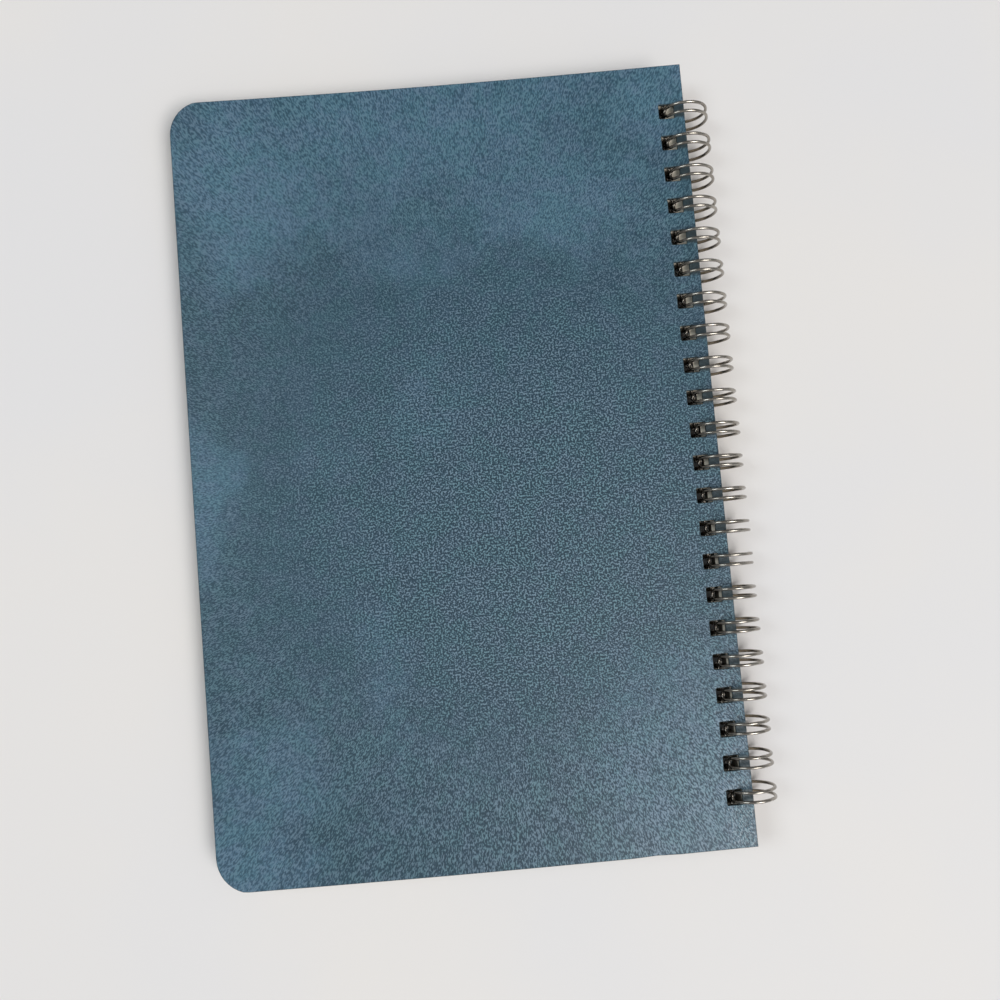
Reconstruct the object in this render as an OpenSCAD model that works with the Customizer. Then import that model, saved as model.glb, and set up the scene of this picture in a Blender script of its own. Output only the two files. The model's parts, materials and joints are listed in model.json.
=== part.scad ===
// Twin-loop notebook, closed and lying face down: back cover up, loops to the right.
// The origin is on the table, under the middle of the whole book.
// X runs from the fore-edge to the loops, Y along the spine, Z up.

/* [Covers] */
// Width of a cover, from the fore-edge to the spine edge
cover_w = 135; // [100:1:220]
// Height of a cover, along the spine
cover_h = 203; // [120:1:300]
// Thickness of a cover, board and skin together
cover_t = 0.9; // [0.6:0.1:2]
// Radius of the two corners cut at the fore-edge
corner_r = 9; // [4:0.5:20]
// How far the corner cutter sat past the head and tail edges of a cover
corner_slip = 0.3; // [0:0.05:0.8]

/* [Pages] */
// Thickness of the block of pages, about 53 sheets
pages_t = 5.3; // [2:0.1:14]
// How far the pages stay inside the covers at the head, tail and fore-edge
page_inset = 2.5; // [0.5:0.25:4]
// Air between sheets that lie on each other
lie_gap = 0.05; // [0.02:0.01:0.2]

/* [Punched holes] */
// Distance between the middles of neighbouring holes, three to the inch
hole_pitch = 8.467; // [8.2:0.001:12.7]
// Width of a hole across the spine
hole_w = 4; // [3.6:0.1:5]
// Height of a hole along the spine
hole_h = 3.8; // [3.8:0.1:5]
// Strip left between the holes and the spine edge
hole_margin = 2.7; // [1.5:0.1:4]
// Least distance from the head or tail to the middle of the end hole
end_margin = 11; // [8:0.5:20]

/* [Wire] */
// Diameter of the wire
wire_d = 0.9; // [0.6:0.05:1]
// Distance between the two wires of a loop, middle to middle
pair_pitch = 2.35; // [1.8:0.05:2.4]
// Radius of the bends where the loops turn off the seam, to the middle of the wire
root_bend_r = 0.85; // [0.6:0.05:0.9]
// How much the wire swells where it is bent tight
bend_swell = 0.02; // [0.01:0.005:0.03]
// Length of the cut end past the last bend, at the head and at the tail
tail_l = 1.4; // [0.5:0.1:3]
// Room between the outside of the loops and the far side of the holes
loop_slack = 0.7; // [0.4:0.05:1]
// Room between the inside of the loops and the holes of the front cover
seat_clear = 0.15; // [0.1:0.05:0.4]
// How much lower than the middle of the loops the stack sits
stack_drop = 0.25; // [0:0.05:0.5]
// Room over and under the wire of the seam
seam_clear = 0.1; // [0.06:0.01:0.3]
// How far the tips of the loops stop short of the seam
tip_gap = 0.3; // [0.28:0.02:1]

/* [Hidden] */
$fn = 32;

wire_r = wire_d / 2;
bend_r = wire_r + bend_swell;
loop_count = floor((cover_h - 2 * end_margin) / hole_pitch) + 1;

// The stack at the spine: two covers, the pages and the seam's wire under the back cover
stack_t = 2 * cover_t + lie_gap + pages_t + 2 * (bend_r + seam_clear);
below = stack_t / 2 + stack_drop;
above = stack_t - below;

// Loops just large enough for the front cover's holes to seat on their inside
far_room = hole_w - wire_r - loop_slack;
near_room = wire_r + seat_clear;
loop_r = (pow(below, 2) + pow(far_room, 2) - pow(near_room, 2)) / (2 * (far_room - near_room));
loop_h = loop_r + wire_r;

// Strip of air between the spine edges and the middle of the loops
spine_gap = loop_r - far_room - hole_margin;
reach = cover_w + spine_gap;

// The front cover and pages lean on the loops, the back cover on the seam's wire
block_lean = asin(loop_h / norm([reach, below])) - atan2(below, reach);
edge_run = reach - page_inset;
edge_rise = cover_t + lie_gap + pages_t - below;
lift = above - cover_t - lie_gap;
back_lean = block_lean + asin(lift / norm([edge_run, edge_rise])) - atan2(edge_rise, edge_run);

// The seam lies just under the back cover, and the tips of the loops close on it
seam_z = above - cover_t - seam_clear - bend_r;
root_turn = atan2(root_bend_r, loop_r);
seam_a = 180 - asin(seam_z / norm([loop_r, root_bend_r]));
root_a = seam_a + root_turn;
tip_a = seam_a - atan2(pair_pitch / 2, loop_r) - tip_gap / loop_r * 180 / PI;
run_l = hole_pitch - pair_pitch - 2 * root_bend_r;
lap_a = 3;

// Middle of the loops, with the middle of the book's whole width at X = 0
front_edge = -reach * cos(block_lean) + below * sin(block_lean);
back_edge = -reach * cos(back_lean) - above * sin(back_lean);
loop_x = -(min(front_edge, back_edge) + loop_h) / 2;

function loop_y(i) = (i - (loop_count - 1) / 2) * hole_pitch;

// Turns a piece drawn about the middle of the loops by the given lean
module about_loops(lean) {
    translate([loop_x, 0, loop_h]) rotate([0, -lean, 0]) children();
}

// What the cutter takes off one corner, for a corner at the origin
module corner_waste(r, slip) {
    difference() {
        translate([-1, -r + slip]) square([r + 1, r + 1]);
        translate([r, -r + slip]) circle(r);
    }
}

// Outline of a sheet from its fore-edge at X = 0, with a row of punched holes by the spine
module sheet_outline(w, h, r, slip) {
    difference() {
        translate([0, -h / 2]) square([w, h]);
        translate([0, h / 2]) corner_waste(r, slip);
        mirror([0, 1]) translate([0, h / 2]) corner_waste(r, slip);
        for (i = [0 : loop_count - 1])
            translate([w - hole_margin - hole_w, loop_y(i) - hole_h / 2]) square([hole_w, hole_h]);
    }
}

module cover() {
    translate([-reach, 0]) linear_extrude(cover_t) sheet_outline(cover_w, cover_h, corner_r, corner_slip);
}

module front_cover() {
    color([0.28, 0.41, 0.49]) about_loops(block_lean) translate([0, 0, -below]) cover();
}

module back_cover() {
    color([0.30, 0.44, 0.53]) about_loops(back_lean) translate([0, 0, above - cover_t]) cover();
}

module page_block() {
    page_w = cover_w - page_inset;
    page_h = cover_h - 2 * page_inset;
    color([0.93, 0.90, 0.82])
        about_loops(block_lean)
            translate([page_inset - reach, 0, cover_t + lie_gap - below])
                linear_extrude(pages_t) sheet_outline(page_w, page_h, corner_r - page_inset, 0);
}

// Frame on the loops at angle a: X along the spine, Y along the wire's run
module on_loop(a) {
    rotate([0, -a, 0]) translate([loop_r, 0, 0]) rotate([90, 0, 90]) children();
}

// A tight bend of radius r about the origin, lapping a little into the wire at both ends
module bend(r, from, to) {
    rotate([0, 0, from - lap_a])
        rotate_extrude(angle = to - from + 2 * lap_a)
            translate([r, 0]) circle(bend_r);
}

module ring_wire() {
    rotate([90, 0, 0])
        rotate([0, 0, root_a])
            rotate_extrude(angle = 360 + tip_a - root_a, $fn = 96)
                translate([loop_r, 0]) circle(wire_r, $fn = 32);
}

// Wire along the seam, starting at the end of a root bend
module seam_run(length) {
    translate([pair_pitch / 2 + root_bend_r, -root_bend_r])
        rotate([0, 90, 0]) cylinder(r = wire_r, h = length);
}

// Two wires side by side, closed by a round tip and turned out at their roots
module twin_loop() {
    for (side = [-1, 1]) translate([0, side * pair_pitch / 2, 0]) ring_wire();
    on_loop(tip_a) bend(pair_pitch / 2, 0, 180);
    on_loop(root_a) {
        translate([pair_pitch / 2 + root_bend_r, 0]) bend(root_bend_r, 180, 270);
        translate([-pair_pitch / 2 - root_bend_r, 0]) bend(root_bend_r, -90, 0);
    }
}

// One continuous wire: the loops, the runs of the seam between them and the two cut ends
module binding_wire() {
    color([0.62, 0.58, 0.52]) about_loops(back_lean) {
        for (i = [0 : loop_count - 1]) translate([0, loop_y(i), 0]) {
            twin_loop();
            on_loop(root_a) seam_run(i < loop_count - 1 ? run_l : tail_l);
        }
        translate([0, loop_y(0), 0]) on_loop(root_a) mirror([1, 0, 0]) seam_run(tail_l);
    }
}

front_cover();
page_block();
back_cover();
binding_wire();
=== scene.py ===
# Twin-loop notebook lying face down on a pale table, seen from above
import json
import math

import bmesh
import bpy
from mathutils import Matrix, Vector


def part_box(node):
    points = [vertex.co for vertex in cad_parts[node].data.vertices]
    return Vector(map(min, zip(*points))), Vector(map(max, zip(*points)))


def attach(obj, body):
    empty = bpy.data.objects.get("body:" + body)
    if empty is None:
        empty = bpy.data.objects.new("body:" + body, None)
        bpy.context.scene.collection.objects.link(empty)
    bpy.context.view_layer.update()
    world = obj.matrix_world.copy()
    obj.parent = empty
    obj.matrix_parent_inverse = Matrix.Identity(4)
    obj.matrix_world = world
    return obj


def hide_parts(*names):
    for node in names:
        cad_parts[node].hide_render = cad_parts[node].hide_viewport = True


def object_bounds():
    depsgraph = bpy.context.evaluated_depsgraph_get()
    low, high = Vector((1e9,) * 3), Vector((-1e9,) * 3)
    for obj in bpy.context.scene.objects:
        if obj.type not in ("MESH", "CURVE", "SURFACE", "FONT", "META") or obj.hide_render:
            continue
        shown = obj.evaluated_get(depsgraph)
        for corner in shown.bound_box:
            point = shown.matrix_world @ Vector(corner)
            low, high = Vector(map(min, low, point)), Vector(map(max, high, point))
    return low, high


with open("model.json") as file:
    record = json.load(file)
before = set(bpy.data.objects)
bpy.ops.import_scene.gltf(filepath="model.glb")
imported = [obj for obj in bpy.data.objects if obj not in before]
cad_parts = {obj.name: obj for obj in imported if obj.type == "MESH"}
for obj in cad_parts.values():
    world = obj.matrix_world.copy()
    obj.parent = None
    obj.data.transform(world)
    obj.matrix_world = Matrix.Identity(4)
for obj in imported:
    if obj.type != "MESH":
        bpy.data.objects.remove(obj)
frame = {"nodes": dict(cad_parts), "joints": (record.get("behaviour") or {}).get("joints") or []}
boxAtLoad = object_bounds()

print("frame: loaded", len(frame["nodes"]), "nodes")

mm = 0.001
scene = bpy.context.scene


# Node trees

class Signal:
    # One output of a node, which adds Math nodes when it is used in an expression
    def __init__(self, tree, socket):
        self.tree = tree
        self.socket = socket

    def __add__(self, other):
        return self.tree.maths("ADD", self, other)

    __radd__ = __add__

    def __sub__(self, other):
        return self.tree.maths("SUBTRACT", self, other)

    def __rsub__(self, other):
        return self.tree.maths("SUBTRACT", other, self)

    def __mul__(self, other):
        return self.tree.maths("MULTIPLY", self, other)

    __rmul__ = __mul__

    def __truediv__(self, other):
        return self.tree.maths("DIVIDE", self, other)

    def most(self, other):
        return self.tree.maths("MAXIMUM", self, other)

    def step(self, low, high, toLow=0.0, toHigh=1.0):
        # smooth step from toLow at low to toHigh at high
        return self.tree.node("ShaderNodeMapRange", {"interpolation_type": "SMOOTHSTEP"}, {
            "Value": self, "From Min": low, "From Max": high, "To Min": toLow, "To Max": toHigh})


class Tree:
    # Fills a shader or geometry node tree
    def __init__(self, nodeTree):
        self.nodeTree = nodeTree
        nodeTree.nodes.clear()

    def node(self, kind, settings=None, inputs=None, output=0):
        made = self.nodeTree.nodes.new(kind)
        for name, value in (settings or {}).items():
            setattr(made, name, value)
        for name, value in (inputs or {}).items():
            for each in value if isinstance(value, list) else [value]:
                if isinstance(each, Signal):
                    self.nodeTree.links.new(each.socket, made.inputs[name])
                else:
                    made.inputs[name].default_value = each
        return Signal(self, made.outputs[output]) if made.outputs else made

    def maths(self, operation, *values):
        return self.node("ShaderNodeMath", {"operation": operation}, dict(enumerate(values)))

    def mix(self, factor, first, second):
        # numbers mixed by factor
        return self.node("ShaderNodeMix", {"data_type": "FLOAT"}, {0: factor, 2: first, 3: second})

    def blend(self, factor, first, second, mode="MIX"):
        # colours mixed by factor; sockets 6 and 7 are the Mix node's colours
        return self.node("ShaderNodeMix", {"data_type": "RGBA", "blend_type": mode},
                         {0: factor, 6: first, 7: second}, output=2)

    def vector(self, operation, first, second=None, output=0):
        values = {0: first} if second is None else {0: first, 1: second}
        return self.node("ShaderNodeVectorMath", {"operation": operation}, values, output)

    def noise(self, place, scale, detail=2.0, roughness=0.5, output="Fac"):
        return self.node("ShaderNodeTexNoise", {}, {
            "Vector": place, "Scale": scale, "Detail": detail, "Roughness": roughness}, output)

    def part(self, vector, axis):
        return self.node("ShaderNodeSeparateXYZ", {}, {"Vector": vector}, axis)

    def bump(self, height, distance, strength=1.0):
        return self.node("ShaderNodeBump", {}, {
            "Height": height, "Distance": distance, "Strength": strength})


def newMaterial(name):
    material = bpy.data.materials.new(name)
    material.use_nodes = True
    return material, Tree(material.node_tree)


def surface(tree, inputs):
    shader = tree.node("ShaderNodeBsdfPrincipled", {}, inputs)
    tree.node("ShaderNodeOutputMaterial", {}, {"Surface": shader})


def placeInMillimetres(tree, origin=(0.0, 0.0, 0.0)):
    # object coordinates in millimetres, measured from origin
    coords = tree.node("ShaderNodeTexCoord", {}, {}, "Object")
    scaled = tree.vector("MULTIPLY", coords, (1000.0, 1000.0, 1000.0))
    return tree.vector("SUBTRACT", scaled, origin)


# Rest places, read from the frame

def plateRest(node, width, thickness):
    # places a flat plate, drawn from its fore-edge with its underside at Z = 0, as the node rests
    low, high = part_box(node)
    size = (high - low) / mm
    lean = math.asin((width * size.z - thickness * size.x) / (width ** 2 - thickness ** 2))
    corner = Vector((low.x + thickness * mm * math.sin(lean), 0.0, low.z))
    return Matrix.Translation(corner) @ Matrix.Rotation(-lean, 4, "Y") @ Matrix.Scale(mm, 4), lean


hinge = Vector(frame["joints"][0]["pos_m"])  # middle of the wire loops

binding = {
    "loopCount": 22,
    "holePitch": 8.467,
    "holeWidth": 4.0,    # across the spine
    "holeHeight": 3.8,   # along the spine
    "holeMargin": 2.7,   # strip between the holes and the spine edge
    "holeCorner": 0.35,  # rounding of the punched corners
}


def holeMiddles():
    count = binding["loopCount"]
    return [(i - (count - 1) / 2) * binding["holePitch"] for i in range(count)]


def fromHoleMiddle(tree, place):
    # distance along the spine from the middle of the nearest hole, in millimetres
    lastHole = holeMiddles()[-1]
    along = tree.part(place, "Y")
    between = tree.maths("PINGPONG", along + lastHole, binding["holePitch"] / 2)
    return between.most(tree.maths("ABSOLUTE", along) - lastHole)


def finishPiece(name, mesh, body, node, smoothAngle=None):
    mesh.name = name
    if smoothAngle is not None:
        mesh.shade_smooth()
        mesh.set_sharp_from_angle(angle=math.radians(smoothAngle))
    piece = bpy.data.objects.new(name, mesh)
    scene.collection.objects.link(piece)
    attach(piece, body)
    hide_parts(node)
    print(name + ":", len(mesh.polygons), "faces on", body)
    return piece


# Camera

camera = {
    "location": (-2.1, -25.91, 253.46),  # mm
    "rotation": (4.003, -1.790, -4.866),  # degrees
    "lens": 34.54,
    "sensor": 36.0,
}


def addCamera():
    data = bpy.data.cameras.new("camera")
    data.lens = camera["lens"]
    data.sensor_width = camera["sensor"]
    data.clip_start = 0.01
    data.clip_end = 20.0
    eye = bpy.data.objects.new("camera", data)
    eye.location = [c * mm for c in camera["location"]]
    eye.rotation_euler = [math.radians(a) for a in camera["rotation"]]
    scene.collection.objects.link(eye)
    scene.camera = eye


addCamera()
print("camera: set")


# Table and light

studio = {
    "tableSize": 30.0,  # m
    "tableColour": (0.806, 0.777, 0.757),
    "tableCool": (0.97, 0.985, 1.015),  # multiplies the colour in large faint patches
    "tableRoughness": 0.55,
    "tableGloss": 0.12,
    "worldColour": (0.97, 0.985, 1.0),
    "worldDim": 0.20,     # strength of the dome away from the window
    "worldBright": 0.50,  # strength of the dome towards the window
    "worldHorizon": 0.75, # strength at the horizon
    "windowWay": (0.42, -0.50, 0.76),
}
lamps = [
    {"name": "windowLamp", "way": (0.50, -0.50, 1.0), "distance": 5.0, "size": 2.5, "power": 160.0,
     "colour": (1.0, 0.985, 0.96)},
    {"name": "fillLamp", "way": (-0.80, 0.20, 1.0), "distance": 5.0, "size": 1.9, "power": 62.0,
     "colour": (0.86, 0.95, 1.0)},
]


def addTable():
    half = studio["tableSize"] / 2
    mesh = bpy.data.meshes.new("table")
    corners = [(-half, -half, 0), (half, -half, 0), (half, half, 0), (-half, half, 0)]
    mesh.from_pydata(corners, [], [(0, 1, 2, 3)])
    table = bpy.data.objects.new("table", mesh)
    scene.collection.objects.link(table)
    material, tree = newMaterial("tableTop")
    place = placeInMillimetres(tree)
    patches = tree.noise(place, 0.008, 3.0)
    warm = studio["tableColour"]
    cool = [c * tint for c, tint in zip(warm, studio["tableCool"])]
    colour = tree.blend(patches.step(0.35, 0.65), (*warm, 1.0), (*cool, 1.0))
    surface(tree, {"Base Color": colour, "Roughness": studio["tableRoughness"],
                   "Specular IOR Level": studio["tableGloss"]})
    mesh.materials.append(material)


def addWorld():
    world = bpy.data.worlds.new("studio")
    world.use_nodes = True
    scene.world = world
    tree = Tree(world.node_tree)
    way = tree.node("ShaderNodeTexCoord", {}, {}, "Generated")
    window = Vector(studio["windowWay"]).normalized()
    nearness = tree.vector("DOT_PRODUCT", way, tuple(window), output="Value")
    strength = nearness.step(0.35, 1.0, studio["worldDim"], studio["worldBright"])
    strength = strength.most(tree.part(way, "Z").step(0.30, 0.0, 0.0, studio["worldHorizon"]))
    light = tree.node("ShaderNodeBackground", {}, {
        "Color": (*studio["worldColour"], 1.0), "Strength": strength})
    tree.node("ShaderNodeOutputWorld", {}, {"Surface": light})


def addLamp(settings):
    data = bpy.data.lights.new(settings["name"], "AREA")
    data.size = settings["size"]
    data.energy = settings["power"]
    data.color = settings["colour"]
    lamp = bpy.data.objects.new(settings["name"], data)
    way = Vector(settings["way"]).normalized()
    lamp.location = way * settings["distance"]
    lamp.rotation_euler = way.to_track_quat("Z", "Y").to_euler()
    scene.collection.objects.link(lamp)


addTable()
addWorld()
for settings in lamps:
    addLamp(settings)
scene.view_settings.view_transform = "Standard"
print("studio: table, world and", len(lamps), "lamps")


# Leatherette covers

cover = {
    "width": 135.0,
    "height": 203.0,
    "thickness": 0.9,
    "cornerRadius": 9.0,
    "cornerSlip": 0.3,   # how far the corner cutter sat past the head and tail edges
    "skin": 0.28,        # leatherette on the outside
    "lining": 0.2,       # lining on the inside
    "rim": 0.14,         # pressed edge round the cut outline
    "gridStep": 6.0,
    "endStep": 3.0,      # the same between the end holes and the head and tail
    "holeRing": 1.15,    # width of the finer mesh round each hole
}
backWarp = {
    "tailLift": 1.3,     # the tail edge rises half-way along
    "tailReach": 60.0,   # how far in from the tail it does so
    "headDrop": 0.25,    # the head edge droops past the pages
    "headReach": 2.4,
    "headCut": 0.50,     # and it is cut a little hollow
    "headCutReach": 8.0,
    "dentFromSpine": 26.0,
    "dentRadius": 3.2,
    "dentDepth": 0.20,
}


def spread(low, high, step):
    count = max(1, round((high - low) / step))
    return [low + (high - low) * i / count for i in range(count + 1)]


def cornerTop(x):
    # half height of a cover at distance x from its fore-edge
    radius = cover["cornerRadius"]
    straight = cover["height"] / 2
    if x >= radius:
        return straight
    arc = straight - radius + cover["cornerSlip"] + math.sqrt(radius ** 2 - (radius - x) ** 2)
    return min(straight, arc)


def holeRing(bm, middle, corners):
    # faces between one punched hole with rounded corners and the four grid corners round it
    halfW = binding["holeWidth"] / 2
    halfH = binding["holeHeight"] / 2
    radius = binding["holeCorner"]
    steps = 4
    arcs = []
    for quarter, (sx, sy) in enumerate([(1, 1), (-1, 1), (-1, -1), (1, -1)]):
        arc = []
        for i in range(steps + 1):
            a = math.radians(90 * quarter + 90 * i / steps)
            x = middle[0] + sx * (halfW - radius) + radius * math.cos(a)
            y = middle[1] + sy * (halfH - radius) + radius * math.sin(a)
            arc.append(bm.verts.new((x, y, 0.0)))
        arcs.append(arc)
    for quarter in range(4):
        arc, outer = arcs[quarter], corners[quarter]
        for i in range(steps):
            bm.faces.new((arc[i], outer, arc[i + 1]))
        following = (quarter + 1) % 4
        bm.faces.new((arc[-1], outer, corners[following], arcs[following][0]))


def coverOutline():
    # flat punched sheet at Z = 0, from its fore-edge at X = 0
    bm = bmesh.new()
    radius = cover["cornerRadius"]
    holeRight = cover["width"] - binding["holeMargin"] + cover["holeRing"]
    holeLeft = holeRight - binding["holeWidth"] - 2 * cover["holeRing"]
    ringHalf = binding["holeHeight"] / 2 + cover["holeRing"]
    xLines = [radius * (1 - math.cos(math.radians(a))) for a in range(0, 90, 9)]
    xLines += spread(radius, holeLeft, cover["gridStep"]) + [holeRight, cover["width"]]
    yLines = []
    for middle in holeMiddles():
        yLines += [middle - ringHalf, middle + ringHalf]
    foldIn = yLines[-1]
    ends = spread(foldIn, cover["height"] / 2, cover["endStep"])[1:]
    yLines = [-y for y in reversed(ends)] + yLines + ends
    rows = len(yLines)

    def bent(x, y):
        # rows past the last whole grid line close up to follow the rounded corners
        anchor = yLines[rows - 1 - len(ends) - 1]
        if abs(y) <= anchor:
            return y
        share = (abs(y) - anchor) / (cover["height"] / 2 - anchor)
        return math.copysign(anchor + share * (cornerTop(x) - anchor), y)

    grid = [[bm.verts.new((x, bent(x, y), 0.0)) for y in yLines] for x in xLines]
    column = xLines.index(holeLeft) if holeLeft in xLines else len(xLines) - 3
    for i in range(len(xLines) - 1):
        for j in range(rows - 1):
            a, b, c, d = grid[i][j], grid[i + 1][j], grid[i + 1][j + 1], grid[i][j + 1]
            middleY = (yLines[j] + yLines[j + 1]) / 2
            if i == column and abs(yLines[j + 1] - yLines[j] - 2 * ringHalf) < 1e-6:
                middleX = (xLines[i] + xLines[i + 1]) / 2
                holeRing(bm, (middleX, middleY), (c, d, a, b))
            else:
                bm.faces.new((a, b, c, d))
    return bm


def coverPlate(outerUp):
    # a cover of skin, board and lining, with the rims of its cut outline pressed round
    bm = coverOutline()
    thickness = cover["thickness"]
    risen = bmesh.ops.extrude_face_region(bm, geom=bm.faces[:])["geom"]
    for v in risen:
        if isinstance(v, bmesh.types.BMVert):
            v.co.z = thickness
    layers = [cover["lining"], thickness - cover["skin"]]
    if not outerUp:
        layers = [thickness - z for z in layers]
    for z in layers:
        everything = bm.verts[:] + bm.edges[:] + bm.faces[:]
        bmesh.ops.bisect_plane(bm, geom=everything, plane_co=(0, 0, z), plane_no=(0, 0, 1))
    bmesh.ops.recalc_face_normals(bm, faces=bm.faces[:])
    outerZ = thickness if outerUp else 0.0
    innerZ = thickness - outerZ
    for face in bm.faces:
        z = face.calc_center_median().z
        skinSide = abs(z - outerZ) < cover["skin"]
        if abs(face.normal.z) > 0.5:
            face.material_index = 0 if abs(z - outerZ) < 1e-4 else 2
        else:
            face.material_index = 0 if skinSide else 1
    rims = [e for e in bm.edges if len(e.link_faces) == 2 and e.calc_face_angle() > 1.0
            and abs(sum(v.co.z for v in e.verts) / 2 - thickness / 2) > thickness / 2 - 1e-4]
    rounded = bmesh.ops.bevel(bm, geom=rims, offset=cover["rim"], segments=2, profile=0.5, affect="EDGES")
    for face in rounded["faces"]:
        face.material_index = 3 if abs(face.calc_center_median().z - outerZ) < thickness / 2 else 2
    return bm, innerZ


def bell(distance, radius):
    return math.exp(-(distance / radius) ** 2)


def bendBack(x, y):
    # how the back cover has warped: shift along Y and lift
    along = math.sin(math.pi * x / cover["width"])
    half = cover["height"] / 2
    head = max(0.0, 1 - (half - y) / backWarp["headReach"])
    tail = max(0.0, 1 - (half + y) / backWarp["tailReach"]) ** 2
    dentX = x - (cover["width"] - backWarp["dentFromSpine"])
    dent = bell(math.hypot(dentX, y + half), backWarp["dentRadius"]) * backWarp["dentDepth"]
    lift = along * (backWarp["tailLift"] * tail - backWarp["headDrop"] * head) - dent
    shift = -backWarp["headCut"] * along * max(0.0, 1 - (half - y) / backWarp["headCutReach"]) + dent * 0.8
    return shift, lift


def addCover(name, outerUp, bend, materials):
    bm, innerZ = coverPlate(outerUp)
    for v in bm.verts:
        shift, lift = bend(v.co.x, v.co.y)
        v.co.y += shift
        v.co.z += lift
    rest, lean = plateRest(name, cover["width"], cover["thickness"])
    bm.transform(rest)
    mesh = bpy.data.meshes.new(name)
    bm.to_mesh(mesh)
    bm.free()
    for material in materials:
        mesh.materials.append(material)
    finishPiece(name + "Leatherette", mesh, name, name, smoothAngle=20)
    return rest, lean


leather = {
    "deep": (0.019, 0.060, 0.092),      # teal ground in the darkest clouds
    "ground": (0.027, 0.073, 0.110),
    "pale": (0.061, 0.140, 0.206),      # steel blue of the pale clouds, also used for a painted sheen on the back cover
    "pit": (0.003, 0.028, 0.050),
    "ridge": (0.180, 0.290, 0.355),
    "loopShade": (0.026, 0.040, 0.044),    # painted shade of the loops, between a hole and the spine edge
    "tealTint": (0.94, 1.015, 0.99),    # both tints multiply the colour, in small patches
    "violetTint": (1.08, 0.99, 1.03),
    "grainSize": 0.46,                  # mm from pit to pit
    "grainDepth": 0.03,                 # mm
    "pullMiddle": (78.0, -6.0),         # the grain is drawn out away from this place, in mm
    "pullReach": 92.0,                  # where it has its plain size, in mm from there
    "pullWidth": 0.30,                  # its width there, in mm
    "pullLength": 2.5,                  # how much longer than wide it is there
    "pullFrom": (36.0, 84.0),           # where it starts and is whole, in mm from there
    "drift": 34.0,                      # how far noise shifts the clouds, in mm
    "wornMiddle": (98.0, -28.0),        # the grain stands out most round this place
    "wornHalfSize": (100.0, 104.0),
    "wornLeast": 0.36,                  # how much it stands out far from there
    "roughness": 0.40,
    "polish": 0.08,                     # taken off the roughness between the holes near the tail
}
# pale clouds, the last of the back cover's a painted sheen: place from the fore-edge and from mid height,
# half width, half height, strength
backCloudsAndSheen = [
    (64, 104, 104, 60, 0.80),
    (128, 98, 30, 22, 0.85),
    (8, -96, 28, 20, 0.80),
    (18, 78, 34, 36, 1.0),
    (98, 68, 46, 24, 0.75),
    (58, 60, 22, 20, 0.45),
    (4, -2, 13, 30, 0.8),
    (14, -76, 26, 22, 0.65),
    (47, -52, 8, 34, 0.45),
    (62, 18, 15, 22, 0.35),
    (38, 8, 14, 14, 0.25),
    # painted sheen: lightens the lower right of the back cover, towards the window lamp
    (120, -80, 34, 46, 0.65),
]
frontClouds = [
    (110, 50, 40, 34, 0.9),
    (40, -40, 44, 26, 0.8),
    (20, 60, 20, 34, 0.6),
    (100, -70, 30, 22, 0.7),
    (70, 8, 20, 16, 0.4),
]


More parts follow.
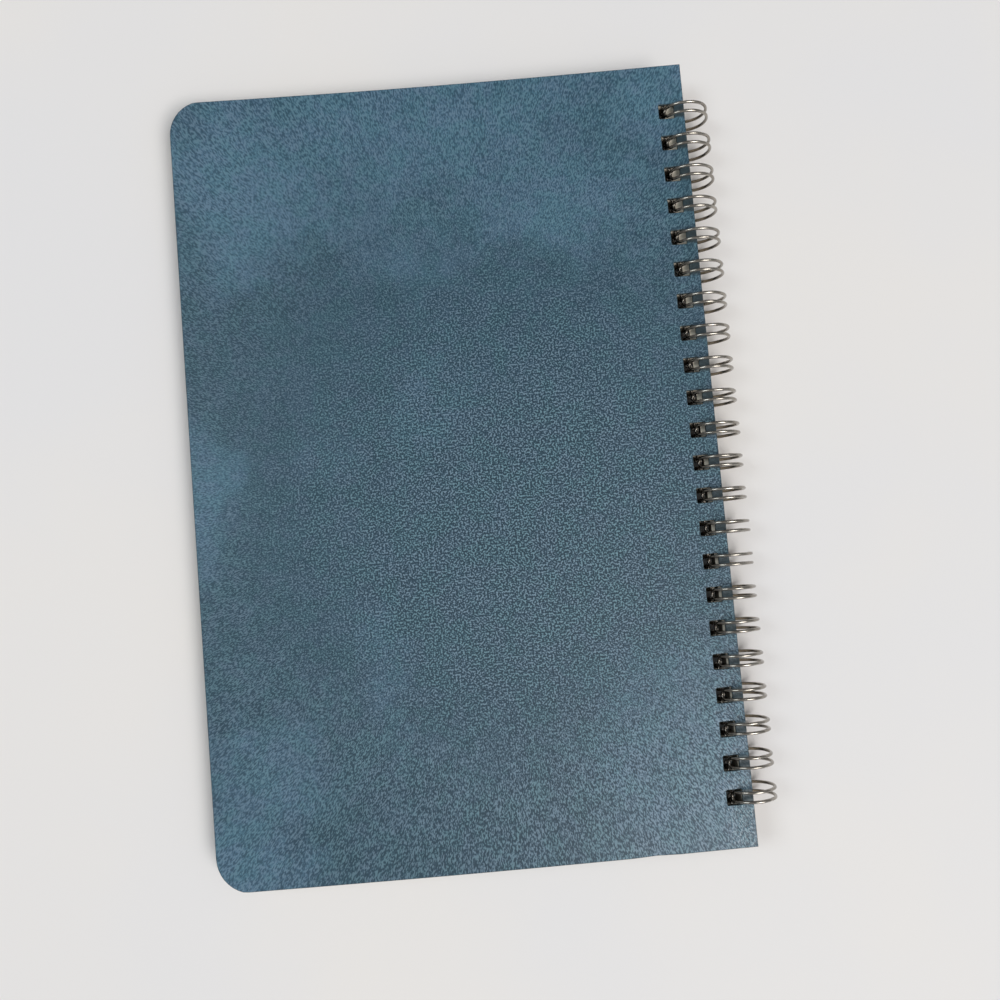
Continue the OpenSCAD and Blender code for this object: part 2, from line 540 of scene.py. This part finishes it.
def leatherette(name, clouds):
    material, tree = newMaterial(name)
    place = placeInMillimetres(tree, (boxAtLoad[0].x / mm, 0.0, 0.0))
    drift = tree.noise(place, 0.055, 3.0, 0.6, output="Color")
    drift = tree.vector("SUBTRACT", drift, (0.5, 0.5, 0.5))
    drift = tree.vector("MULTIPLY", drift, (leather["drift"],) * 3)
    drifted = tree.vector("ADD", place, drift)
    paleness = None
    for x, y, halfWidth, halfHeight, strength in clouds:
        away = tree.vector("SUBTRACT", drifted, (x, y, 0.0))
        scaled = tree.vector("MULTIPLY", away, (1 / halfWidth, 1 / halfHeight, 0.0))
        near = tree.vector("LENGTH", scaled, output="Value").step(0.15, 1.15, strength, 0.0)
        paleness = near if paleness is None else paleness.most(near)
    mottle = tree.noise(place, 0.12, 4.0, 0.6)
    paleness = (paleness + (mottle - 0.5) * 0.55).step(0.0, 1.0)

    # the grain stands out most in a worn patch, and far from one place it is drawn out away from there
    wornWidth, wornHeight = leather["wornHalfSize"]
    wornAway = tree.vector("SUBTRACT", drifted, (*leather["wornMiddle"], 0.0))
    wornAway = tree.vector("MULTIPLY", wornAway, (1 / wornWidth, 1 / wornHeight, 0.0))
    worn = tree.vector("LENGTH", wornAway, output="Value").step(0.15, 1.15, 1.0, leather["wornLeast"])

    flat = tree.vector("MULTIPLY", place, (1.0, 1.0, 0.0))
    pebbles = tree.noise(flat, 1 / leather["grainSize"], 1.0, 0.5)
    outwards = tree.vector("SUBTRACT", flat, (*leather["pullMiddle"], 0.0))
    distance = tree.vector("LENGTH", outwards, output="Value")
    around = leather["pullReach"] / leather["pullWidth"]
    ring = tree.vector("MULTIPLY", tree.vector("NORMALIZE", outwards), (around, around, 0.0))
    outward = tree.node("ShaderNodeCombineXYZ", {}, {
        "Z": tree.maths("LOGARITHM", distance, math.e) * (around / leather["pullLength"])})
    drawn = tree.noise(tree.vector("ADD", ring, outward), 1.0, 1.0, 0.5)
    pulled = distance.step(*leather["pullFrom"])
    grain = tree.mix(pulled, pebbles, drawn)
    grain = (grain - 0.5) * (pulled * 0.35 + 1.0) + 0.5
    pits = (grain + (1.0 - worn) * 0.10).step(0.52, 0.43) * (worn * 0.7 + 0.3)
    ridges = grain.step(0.51, 0.60) * (worn * 0.9 + 0.1)

    ground = tree.blend(mottle.step(0.35, 0.62), (*leather["deep"], 1), (*leather["ground"], 1))
    colour = tree.blend(paleness, ground, (*leather["pale"], 1))
    colour = tree.blend(pits, colour, (*leather["pit"], 1))
    colour = tree.blend(ridges * 0.85, colour, (*leather["ridge"], 1))
    hue = tree.noise(place, 0.17, 3.0, 0.6).step(0.38, 0.62)
    hue = tree.blend(hue, (*leather["tealTint"], 1), (*leather["violetTint"], 1))
    colour = tree.blend(1.0, colour, hue, "MULTIPLY")

    # painted shade of the loops on the strip beside each hole, and the leather is polished between the lower
    # holes
    across = tree.part(place, "X") - cover["width"]
    aside = fromHoleMiddle(tree, place)
    strip = across.step(-binding["holeMargin"] - 0.6, -binding["holeMargin"] + 0.2)
    loopShade = strip * aside.step(2.2, 1.2)
    colour = tree.blend(loopShade * 0.8, colour, (*leather["loopShade"], 1))
    spineSide = across.step(-9.0, -6.0)
    polished = spineSide * tree.part(place, "Y").step(-5.0, -55.0) * aside.step(1.6, 2.4)
    fine = tree.noise(place, 4.5, 2.0)
    height = grain * leather["grainDepth"] * (polished * 1.5 + 1.0) + fine * 0.008
    normal = tree.bump(height, mm * 1.0, 0.9)
    roughness = leather["roughness"] - ridges * 0.06 + pits * 0.10 + (fine - 0.5) * 0.1
    roughness = roughness - polished * leather["polish"]
    surface(tree, {"Base Color": colour, "Roughness": roughness, "Normal": normal})
    return material


coverEdge = {
    "boardDark": (0.020, 0.028, 0.030),  # cut edge of the board
    "boardPale": (0.055, 0.066, 0.066),
    "rimDark": (0.016, 0.034, 0.044),    # pressed rim of the leatherette
    "rimWorn": (0.045, 0.072, 0.082),
    "liningDark": (0.050, 0.098, 0.128),
    "liningPale": (0.062, 0.115, 0.148),
    "liningFibre": (0.085, 0.140, 0.175),
}


def boardEdge():
    material, tree = newMaterial("boardEdge")
    place = placeInMillimetres(tree)
    fibres = tree.noise(place, 2.2, 3.0, 0.6)
    colour = tree.blend(fibres.step(0.3, 0.7), (*coverEdge["boardDark"], 1), (*coverEdge["boardPale"], 1))
    surface(tree, {"Base Color": colour, "Roughness": 0.85, "Normal": tree.bump(fibres, mm * 0.05)})
    return material


def pressedRim():
    material, tree = newMaterial("pressedRim")
    place = placeInMillimetres(tree)
    worn = tree.noise(place, 0.9, 3.0, 0.6)
    colour = tree.blend(worn.step(0.35, 0.7), (*coverEdge["rimDark"], 1), (*coverEdge["rimWorn"], 1))
    surface(tree, {"Base Color": colour, "Roughness": 0.6, "Normal": tree.bump(worn, mm * 0.03)})
    return material


def liningPaper():
    material, tree = newMaterial("lining")
    place = placeInMillimetres(tree)
    fibres = tree.noise(place, 1.6, 4.0, 0.6)
    cloud = tree.noise(place, 0.04, 2.0)
    colour = tree.blend(cloud.step(0.3, 0.7), (*coverEdge["liningDark"], 1), (*coverEdge["liningPale"], 1))
    colour = tree.blend(fibres.step(0.4, 0.7) * 0.3, colour, (*coverEdge["liningFibre"], 1))
    surface(tree, {"Base Color": colour, "Roughness": 0.72, "Normal": tree.bump(fibres, mm * 0.03)})
    return material


edgeMaterials = [boardEdge(), liningPaper(), pressedRim()]
backRest, backLean = addCover("back_cover", True, bendBack,
                              [leatherette("backLeatherette", backCloudsAndSheen)] + edgeMaterials)
frontRest, frontLean = addCover("front_cover", False, lambda x, y: (0.0, 0.0),
                                [leatherette("frontLeatherette", frontClouds)] + edgeMaterials)


# Geometry node trees

class Recipe(Tree):
    # A geometry tree with named inputs, run on a mesh and turned into a plain one
    sockets = {float: "NodeSocketFloat", int: "NodeSocketInt", bpy.types.Material: "NodeSocketMaterial"}

    def __init__(self, name, inputs):
        super().__init__(bpy.data.node_groups.new(name, "GeometryNodeTree"))
        face = self.nodeTree.interface
        face.new_socket("Geometry", in_out="OUTPUT", socket_type="NodeSocketGeometry")
        face.new_socket("Geometry", in_out="INPUT", socket_type="NodeSocketGeometry")
        self.values = {}
        for label, value in inputs.items():
            kind = bpy.types.Material if isinstance(value, bpy.types.Material) else type(value)
            socket = face.new_socket(label, in_out="INPUT", socket_type=self.sockets[kind])
            self.values[socket.identifier] = value
        start = self.nodeTree.nodes.new("NodeGroupInput")
        self.given = {s.name: Signal(self, s) for s in start.outputs if s.name}

    def finish(self, geometry):
        solid = self.node("GeometryNodeRealizeInstances", {}, {"Geometry": geometry})
        painted = self.node("GeometryNodeSetMaterial", {}, {
            "Geometry": solid, "Material": self.given["Material"]})
        self.node("NodeGroupOutput", {}, {"Geometry": painted})

    def run(self, mesh):
        holder = bpy.data.objects.new("holder", mesh)
        scene.collection.objects.link(holder)
        modifier = holder.modifiers.new("recipe", "NODES")
        modifier.node_group = self.nodeTree
        for identifier, value in self.values.items():
            modifier[identifier] = value
        result = bpy.data.meshes.new_from_object(
            holder.evaluated_get(bpy.context.evaluated_depsgraph_get()))
        holder.modifiers.remove(modifier)
        bpy.data.objects.remove(holder)
        return result


# Pages

pages = {
    "thickness": 5.3,
    "sheetCount": 53,
    "sheetShare": 0.82,   # paper's share of the pitch between sheets
    "inset": 2.5,         # inside the covers at the head, tail and fore-edge
    "stray": 0.10,        # how far a sheet may lie out of line
    "slideFrom": 0.5,     # the sheets above this share of the block have slid at the head
    "slideTurn": 0.74,    # degrees
    "pivotY": -66.0,      # where the slid sheets still line up with the wire
    "holeFromHinge": 5.2,  # middle of the punched holes
    "darkSheet": (0.68, 0.60, 0.48),
    "paleSheet": (0.80, 0.735, 0.62),
    "fibre": (0.86, 0.80, 0.69),
    # painted shade in the punched holes
    "holeWallShade": (0.050, 0.040, 0.030),
}


def paperMaterial():
    material, tree = newMaterial("paper")
    place = placeInMillimetres(tree)
    fibres = tree.noise(place, 1.8, 4.0, 0.65)
    shade = tree.node("ShaderNodeAttribute", {"attribute_name": "sheetShade"}, {}, "Fac")
    level = tree.node("ShaderNodeAttribute", {"attribute_name": "sheetLevel"}, {}, "Fac")
    colour = tree.blend(shade, (*pages["darkSheet"], 1), (*pages["paleSheet"], 1))
    colour = tree.blend(fibres.step(0.4, 0.75) * 0.25, colour, (*pages["fibre"], 1))
    # painted shade on the walls of the punched holes below the top sheets, and on the sheets on the holes'
    # far side
    across = tree.part(place, "X") - (hinge.x / mm - pages["holeFromHinge"])
    aside = fromHoleMiddle(tree, place)
    walls = tree.maths("ABSOLUTE", across).step(3.4, 2.4) * aside.step(3.2, 2.4) * level.step(1.0, 0.86)
    far = across.step(-0.9, -1.9) * across.step(-4.6, -3.2) * aside.step(2.6, 1.8)
    colour = tree.blend(walls.most(far) * 0.88, colour, (*pages["holeWallShade"], 1))
    surface(tree, {"Base Color": colour, "Roughness": 0.85, "Specular IOR Level": 0.3,
                   "Normal": tree.bump(fibres, mm * 0.02)})
    return material


def addPages():
    width = cover["width"] - pages["inset"]
    height = cover["height"] - 2 * pages["inset"]
    count = pages["sheetCount"]
    pitch = pages["thickness"] / count
    recipe = Recipe("sheetStack", {
        "Sheet Count": count,
        "Sheet Pitch": pitch,
        "Sheet Thickness": pitch * pages["sheetShare"],
        "Width": width,
        "Height": height,
        "Corner Radius": cover["cornerRadius"] - pages["inset"],
        "Hole Count": binding["loopCount"],
        "Hole Pitch": binding["holePitch"],
        "Hole Width": binding["holeWidth"],
        "Hole Height": binding["holeHeight"],
        "Hole Corner": binding["holeCorner"],
        "Hole Middle": width / 2 - binding["holeMargin"] - binding["holeWidth"] / 2,
        "Stray": pages["stray"],
        "Slide From": count * pages["slideFrom"],
        "Slide Turn": math.radians(pages["slideTurn"]),
        "Pivot Y": pages["pivotY"],
        "Seed": 7,
        "Material": paperMaterial(),
    })
    given, node = recipe.given, recipe.node

    # one punched sheet, with its two fore-edge corners rounded
    rim = node("GeometryNodeCurvePrimitiveQuadrilateral", {}, {0: given["Width"], 1: given["Height"]})
    where = node("GeometryNodeInputPosition")
    acrossSheet = recipe.part(where, "X")
    cornerRadius = recipe.maths("LESS_THAN", acrossSheet, 0.0) * given["Corner Radius"]
    rim = node("GeometryNodeFilletCurve", {"mode": "POLY"}, {
        "Curve": rim, "Count": 10, "Radius": cornerRadius})
    hole = node("GeometryNodeCurvePrimitiveQuadrilateral", {}, {
        0: given["Hole Width"], 1: given["Hole Height"]})
    hole = node("GeometryNodeFilletCurve", {"mode": "POLY"}, {
        "Curve": hole, "Count": 3, "Radius": given["Hole Corner"]})
    firstHole = (1 - given["Hole Count"]) * given["Hole Pitch"] / 2
    row = node("GeometryNodeMeshLine", {"mode": "OFFSET"}, {
        "Count": given["Hole Count"],
        "Start Location": node("ShaderNodeCombineXYZ", {}, {"X": given["Hole Middle"], "Y": firstHole}),
        "Offset": node("ShaderNodeCombineXYZ", {}, {"Y": given["Hole Pitch"]})})
    holes = node("GeometryNodeInstanceOnPoints", {}, {"Points": row, "Instance": hole})
    holes = node("GeometryNodeRealizeInstances", {}, {"Geometry": holes})
    outline = node("GeometryNodeJoinGeometry", {}, {"Geometry": [rim, holes]})
    face = node("GeometryNodeFillCurve", {"mode": "TRIANGLES"}, {"Curve": outline})
    raised = node("GeometryNodeExtrudeMesh", {"mode": "FACES"}, {
        "Mesh": face, "Offset": node("ShaderNodeCombineXYZ", {}, {"Z": given["Sheet Thickness"]}),
        "Offset Scale": 1.0, "Individual": False})
    under = node("GeometryNodeFlipFaces", {}, {"Mesh": face})
    sheet = node("GeometryNodeJoinGeometry", {}, {"Geometry": [raised, under]})
    sheet = node("GeometryNodeMergeByDistance", {}, {"Geometry": sheet, "Distance": 0.001})

    # the stack: each sheet strays a little, and the upper ones have turned about the tail
    index = node("GeometryNodeInputIndex")
    turn = index.step(given["Slide From"], given["Sheet Count"] - 1, 0.0, 1.0) * given["Slide Turn"]
    stray = given["Stray"]
    strayX = node("FunctionNodeRandomValue", {"data_type": "FLOAT"}, {
        2: 0.0 - stray, 3: stray, "ID": index, "Seed": given["Seed"]}, output=1)
    strayY = node("FunctionNodeRandomValue", {"data_type": "FLOAT"}, {
        2: stray * -0.8, 3: stray * 0.8, "ID": index, "Seed": given["Seed"] + 1}, output=1)
    shade = node("FunctionNodeRandomValue", {"data_type": "FLOAT"}, {
        2: 0.0, 3: 1.0, "ID": index, "Seed": given["Seed"] + 2}, output=1)
    stack = node("GeometryNodeMeshLine", {"mode": "OFFSET"}, {
        "Count": given["Sheet Count"],
        "Start Location": (0.0, 0.0, 0.0),
        "Offset": node("ShaderNodeCombineXYZ", {}, {"Z": given["Sheet Pitch"]})})
    stack = node("GeometryNodeSetPosition", {}, {
        "Geometry": stack,
        "Offset": node("ShaderNodeCombineXYZ", {}, {
            "X": turn * given["Pivot Y"] + strayX, "Y": strayY - turn * given["Hole Middle"]})})
    sheets = node("GeometryNodeInstanceOnPoints", {}, {
        "Points": stack, "Instance": sheet, "Rotation": node("ShaderNodeCombineXYZ", {}, {"Z": turn})})
    for label, value in (("sheetShade", shade), ("sheetLevel", index / (given["Sheet Count"] - 1))):
        sheets = node("GeometryNodeStoreNamedAttribute", {"data_type": "FLOAT", "domain": "INSTANCE"}, {
            "Geometry": sheets, "Name": label, "Value": value})
    recipe.finish(sheets)
    mesh = recipe.run(bpy.data.meshes.new("sheets"))

    rest, lean = plateRest("page_block", width, pages["thickness"])
    mesh.transform(rest @ Matrix.Translation((width / 2, 0.0, 0.0)))
    finishPiece("sheets", mesh, "bound_pages", "page_block")


addPages()


# Binding wire

wire = {
    "diameter": 0.8,
    "pairPitch": 2.35,     # middle to middle of the two wires of a loop
    "rootBend": 0.85,      # radius of the bends where the loops leave the seam
    "bendSwell": 0.02,
    "seamClear": 0.1,
    "tipGap": 0.3,
    "tail": 1.4,           # cut end past the last bend
    "wobble": 0.12,        # how far the loops stand out of line
    "deepNickel": (0.30, 0.275, 0.240),
    "paleNickel": (0.41, 0.384, 0.345),
    # painted shade on the wire inside the punched holes
    "holeShade": (0.10, 0.088, 0.072),
    "holeShadeFrom": (-3.9, -4.8),  # where the painted shade starts and is whole, across the spine from the hinge
    "roughness": 0.12,
}


def loopPath():
    # middle of the wire over one loop, from half-way along the seam to the next half-way, about the hinge
    loopRadius = hinge.z / mm - wire["diameter"] / 2
    bend, half = wire["rootBend"], wire["pairPitch"] / 2
    coverUnder = (backRest.inverted() @ hinge).z
    seamZ = -coverUnder - wire["seamClear"] - wire["diameter"] / 2 - wire["bendSwell"]
    seamTurn = math.pi - math.asin(seamZ / math.hypot(loopRadius, bend))
    rootTurn = seamTurn + math.atan2(bend, loopRadius)
    tipTurn = seamTurn - math.atan2(half, loopRadius) - wire["tipGap"] / loopRadius

    def onLoop(turn, along, run):
        radial = Vector((math.cos(turn), 0.0, math.sin(turn)))
        tangent = Vector((-math.sin(turn), 0.0, math.cos(turn)))
        return radial * loopRadius + tangent * run + Vector((0.0, along, 0.0))

    def arc(turn, middle, radius, start, end, steps):
        for i in range(steps + 1):
            a = math.radians(start + (end - start) * i / steps)
            yield onLoop(turn, middle + radius * math.cos(a), radius * math.sin(a))

    def ring(along):
        steps = 56
        for i in range(1, steps):
            yield onLoop(rootTurn + (2 * math.pi + tipTurn - rootTurn) * i / steps, along, 0.0)

    left = [onLoop(rootTurn, -binding["holePitch"] / 2, -bend)]
    left += list(arc(rootTurn, -half - bend, bend, -90, 0, 7)) + list(ring(-half))
    tip = list(arc(tipTurn, 0.0, half, 180, 0, 14))
    right = [Vector((p.x, -p.y, p.z)) for p in reversed(left)]
    return left + tip + right


def wireMaterial():
    material, tree = newMaterial("nickelWire")
    place = placeInMillimetres(tree)
    haze = tree.noise(place, 0.35, 3.0, 0.6)
    scratches = tree.noise(place, 3.5, 3.0, 0.7)
    colour = tree.blend(haze.step(0.35, 0.7), (*wire["deepNickel"], 1), (*wire["paleNickel"], 1))
    # painted shade: the wire is darker inside the punched holes
    shadedInHole = (tree.part(place, "X") - hinge.x / mm).step(*wire["holeShadeFrom"])
    colour = tree.blend(shadedInHole * 0.8, colour, (*wire["holeShade"], 1))
    roughness = wire["roughness"] + haze * 0.08 + (scratches - 0.5) * 0.12
    surface(tree, {"Base Color": colour, "Metallic": 1.0, "Roughness": roughness,
                   "Normal": tree.bump(scratches, mm * 0.012)})
    return material


def addWire():
    path = loopPath()
    line = bpy.data.meshes.new("loop")
    line.from_pydata(path, [(i, i + 1) for i in range(len(path) - 1)], [])
    halfRun = (binding["holePitch"] - wire["pairPitch"]) / 2 - wire["rootBend"]
    recipe = Recipe("twinLoops", {
        "Loop Count": binding["loopCount"],
        "Loop Pitch": binding["holePitch"],
        "Wire Radius": wire["diameter"] / 2,
        "End Trim": halfRun - wire["tail"],
        "Wobble": wire["wobble"],
        "Seed": 3,
        "Material": wireMaterial(),
    })
    given, node = recipe.given, recipe.node
    firstLoop = (1 - given["Loop Count"]) * given["Loop Pitch"] / 2
    row = node("GeometryNodeMeshLine", {"mode": "OFFSET"}, {
        "Count": given["Loop Count"],
        "Start Location": node("ShaderNodeCombineXYZ", {}, {"Y": firstLoop}),
        "Offset": node("ShaderNodeCombineXYZ", {}, {"Y": given["Loop Pitch"]})})
    loops = node("GeometryNodeInstanceOnPoints", {}, {"Points": row, "Instance": given["Geometry"]})
    loops = node("GeometryNodeRealizeInstances", {}, {"Geometry": loops})
    loops = node("GeometryNodeMergeByDistance", {}, {"Geometry": loops, "Distance": 0.01})
    loops = node("GeometryNodeMeshToCurve", {}, {"Mesh": loops})
    length = node("GeometryNodeCurveLength", {}, {"Curve": loops})
    loops = node("GeometryNodeTrimCurve", {"mode": "LENGTH"}, {
        "Curve": loops, 4: given["End Trim"], 5: length - given["End Trim"]})
    where = node("GeometryNodeInputPosition")
    sway = node("ShaderNodeTexNoise", {"noise_dimensions": "4D"}, {
        "Vector": where, "W": given["Seed"], "Scale": 0.11, "Detail": 1.0}, output="Color")
    sway = recipe.vector("SUBTRACT", sway, (0.5, 0.5, 0.5))
    outward = recipe.part(where, "X").step(0.5, 4.5)
    sway = node("ShaderNodeVectorMath", {"operation": "SCALE"}, {
        0: sway, "Scale": outward * given["Wobble"] * 4.0})
    loops = node("GeometryNodeSetPosition", {}, {"Geometry": loops, "Offset": sway})
    section = node("GeometryNodeCurvePrimitiveCircle", {}, {"Resolution": 14, "Radius": given["Wire Radius"]})
    tube = node("GeometryNodeCurveToMesh", {}, {"Curve": loops, "Profile Curve": section, "Fill Caps": True})
    tube = node("GeometryNodeSetShadeSmooth", {}, {"Geometry": tube, "Shade Smooth": True})
    recipe.finish(tube)
    mesh = recipe.run(line)
    mesh.transform(Matrix.Translation(hinge) @ Matrix.Rotation(-backLean, 4, "Y") @ Matrix.Scale(mm, 4))
    finishPiece("twinLoopWire", mesh, "bound_pages", "binding_wire")


addWire()
